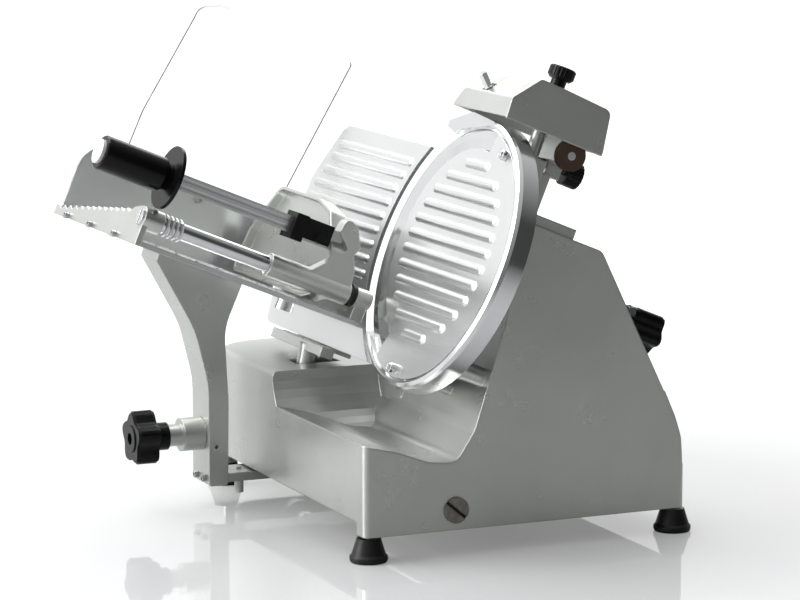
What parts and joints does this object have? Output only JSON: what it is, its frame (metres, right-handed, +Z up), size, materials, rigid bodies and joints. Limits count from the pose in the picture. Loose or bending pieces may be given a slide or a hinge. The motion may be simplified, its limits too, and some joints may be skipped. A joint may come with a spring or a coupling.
{
  "type": "gravity-feed electric deli slicer",
  "caption": "Gravity-feed deli slicer: tilted round blade under a ribbed cover, sliding food tray with pusher, gauge plate, sharpener hood and clear shield on a cast base.",
  "frame": {"origin": "middle of the whole outline's footprint, at the height of the counter it stands on", "axes": "+X from the food carriage to the motor side, +Y from the rear to the operator, +Z up"},
  "size_m": [0.5446, 0.489, 0.4849],
  "materials": {
    "cast_aluminium": "satin anodised cast aluminium",
    "plate_aluminium": "brushed anodised sheet",
    "polished": "polished",
    "steel": "brushed",
    "black_plastic": "satin moulded",
    "black_rubber": "matt",
    "white_plastic": "moulded",
    "clear": "clear acrylic sheet",
    "stone": "abrasive stone",
    "bronze": "turned bearing bronze",
    "painted_steel": "black painted",
    "green_plastic": "moulded",
    "red_plastic": "moulded"
  },
  "bodies": {
    "base": {"base_casting": "cast_aluminium", "bottom_cover": "painted_steel", "feet": "black_rubber", "foot_screws": "steel", "slide_rod": "polished", "guide_bar": "steel", "ring_guard": "polished", "blade_cover": "plate_aluminium", "cover_studs": "polished", "shaft_bearings": "steel", "bearing_housing": "cast_aluminium", "motor": "painted_steel", "drive_belt": "black_rubber", "gauge_rail": "steel", "switch_box": "black_plastic", "sharpener_post": "cast_aluminium"},
    "carriage": {"slide_block": "cast_aluminium", "slide_bushes": "bronze", "guide_shoe": "white_plastic", "stop_pin": "white_plastic", "carriage_arm": "cast_aluminium", "arm_collar": "cast_aluminium", "tray": "plate_aluminium", "tray_end_rail": "cast_aluminium", "carriage_screws": "steel", "clear_shield": "clear", "pusher_rod": "polished", "buffer_spring": "steel", "rod_inner_support": "cast_aluminium", "bumper_ring": "black_rubber"},
    "knob_body": {"carriage_knob": "black_plastic"},
    "bush_body": {"pusher_bushes": "white_plastic"},
    "pusher_body": {"pusher_plate": "cast_aluminium", "bar_clamp": "black_plastic", "handle_bar": "plate_aluminium", "handle_grip": "black_plastic", "grip_cap": "white_plastic", "hand_disc": "black_plastic"},
    "blade_body": {"blade": "polished", "blade_screws": "steel", "blade_shaft": "steel", "blade_pulley": "cast_aluminium"},
    "rotor_body": {"motor_shaft": "steel"},
    "tie_body": {"tie_rod": "steel", "tie_rod_knob": "black_plastic"},
    "gauge_body": {"gauge_plate": "plate_aluminium", "gauge_bracket": "cast_aluminium", "gauge_bolts": "steel"},
    "index_body": {"index_shaft": "steel", "index_knob": "black_plastic"},
    "start_body": {"start_button": "green_plastic"},
    "stop_body": {"stop_button": "red_plastic"},
    "sharpener_body": {"sharpener_hood": "cast_aluminium", "sharpener_carrier": "cast_aluminium", "hood_stud": "polished"},
    "top_knob_body": {"sharpener_knob": "black_plastic"},
    "grinding_spindle_body": {"grinding_spindle": "polished"},
    "grinding_stone_body": {"grinding_stone": "stone"},
    "deburring_spindle_body": {"deburring_spindle": "steel"},
    "deburring_stone_body": {"deburring_stone": "stone"}
  },
  "joints": [
    {"name": "carriage_travel", "type": "slide", "parent": "base", "child": "carriage", "axis": [0, -1, 0], "range_m": [0, 0.245]},
    {"name": "carriage_knob_turn", "type": "hinge", "parent": "carriage", "child": "knob_body", "pos_m": [-0.16054, 0.106, 0.073], "axis": [-1, 0, 0], "range_deg": [0, 720]},
    {"name": "pusher_slide", "type": "slide", "parent": "carriage", "child": "bush_body", "axis": [-0.9239, 0, 0.3827], "range_m": [0, 0.088]},
    {"name": "pusher_swing", "type": "hinge", "parent": "bush_body", "child": "pusher_body", "pos_m": [-0.05504, -0.0115, 0.23843], "axis": [0.9239, 0, -0.3827], "range_deg": [0, 80]},
    {"name": "blade_spin", "type": "hinge", "parent": "base", "child": "blade_body", "pos_m": [0.0447, -0.1105, 0.27017], "axis": [0.9239, 0, -0.3827], "continuous": true},
    {"name": "motor_spin", "type": "hinge", "parent": "base", "child": "rotor_body", "pos_m": [0.08805, -0.0735, 0.13965], "axis": [0.9239, 0, -0.3827], "continuous": true},
    {"name": "tie_rod_turn", "type": "hinge", "parent": "base", "child": "tie_body", "pos_m": [0.22024, -0.1105, 0.19746], "axis": [0.9239, 0, -0.3827], "range_deg": [-1080, 0]},
    {"name": "index_turn", "type": "hinge", "parent": "base", "child": "index_body", "pos_m": [0.18546, 0.2135, 0.078], "axis": [0, 1, 0], "range_deg": [0, 300.5]},
    {"name": "gauge_slide", "type": "slide", "parent": "base", "child": "gauge_body", "axis": [0.9239, 0, -0.3827], "range_m": [0, 0.014]},
    {"name": "start_press", "type": "slide", "parent": "base", "child": "start_body", "axis": [0, -1, 0], "range_m": [0, 0.003], "stiffness_N_per_m": 400},
    {"name": "stop_press", "type": "slide", "parent": "base", "child": "stop_body", "axis": [0, -1, 0], "range_m": [0, 0.003], "stiffness_N_per_m": 400},
    {"name": "sharpener_lift", "type": "slide", "parent": "base", "child": "sharpener_body", "axis": [0.3827, 0, 0.9239], "range_m": [0, 0.04]},
    {"name": "sharpener_knob_turn", "type": "hinge", "parent": "sharpener_body", "child": "top_knob_body", "pos_m": [0.14882, -0.1335, 0.4327], "axis": [0.3827, 0, 0.9239], "range_deg": [0, 720]},
    {"name": "grinding_press", "type": "slide", "parent": "sharpener_body", "child": "grinding_spindle_body", "axis": [0, 1, 0], "range_m": [0, 0.003], "stiffness_N_per_m": 300},
    {"name": "grinding_spin", "type": "hinge", "parent": "grinding_spindle_body", "child": "grinding_stone_body", "pos_m": [0.15281, -0.1495, 0.36394], "axis": [0, 1, 0], "continuous": true},
    {"name": "deburring_press", "type": "slide", "parent": "sharpener_body", "child": "deburring_spindle_body", "axis": [-0.9239, 0, 0.3827], "range_m": [0, 0.004], "stiffness_N_per_m": 300},
    {"name": "deburring_spin", "type": "hinge", "parent": "deburring_spindle_body", "child": "deburring_stone_body", "pos_m": [0.10773, -0.1175, 0.36746], "axis": [0.9239, 0, -0.3827], "continuous": true}
  ],
  "couplings": [
    {"joint": "motor_spin", "follows": "blade_spin", "ratio": 2.5337},
    {"joint": "index_turn", "follows": "gauge_slide", "rad_per_m": 374}
  ]
}
